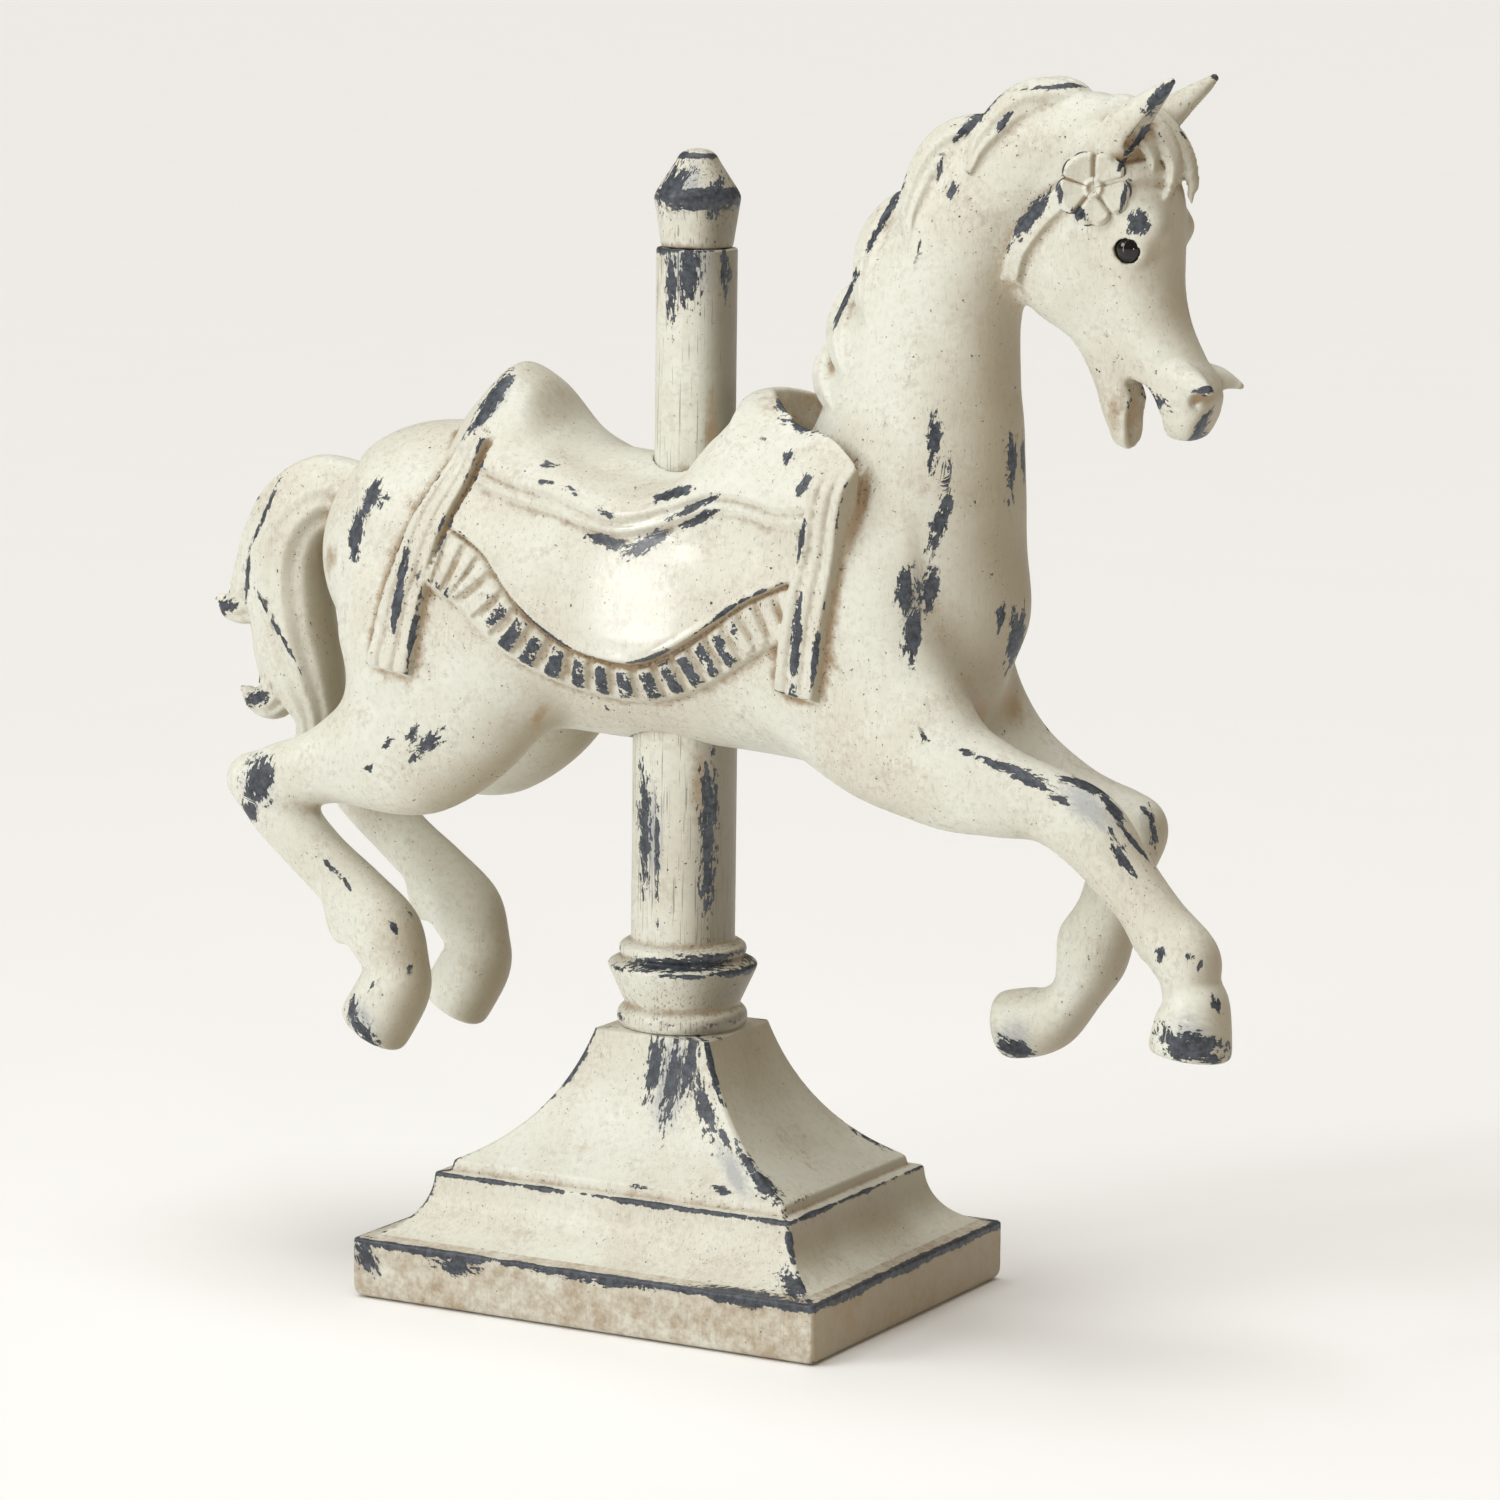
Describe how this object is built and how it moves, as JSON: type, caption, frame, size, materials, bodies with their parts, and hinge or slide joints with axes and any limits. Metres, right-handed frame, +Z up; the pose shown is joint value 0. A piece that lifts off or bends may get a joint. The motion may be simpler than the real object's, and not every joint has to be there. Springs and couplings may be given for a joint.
{
  "type": "carousel horse ornament",
  "caption": "Carousel horse ornament in distressed cream paint, leaping with saddle and bridle, carried by a turned column on a stepped base, with a post and finial in the saddle.",
  "frame": {"origin": "centre of the base's underside, on the column's axis", "axes": "+X the way the horse faces, +Z up, -Y the horse's right side"},
  "size_m": [0.4069, 0.138, 0.4205],
  "materials": {
    "cream_paint": "chalky cream paint over a dark slate undercoat, rubbed through on edges",
    "black_bead": "glossy black bead"
  },
  "bodies": {
    "root": {"base": "cream_paint", "column": "cream_paint", "horse": "cream_paint", "post": "cream_paint", "finial": "cream_paint", "eye_right": "black_bead", "eye_left": "black_bead"}
  },
  "joints": []
}
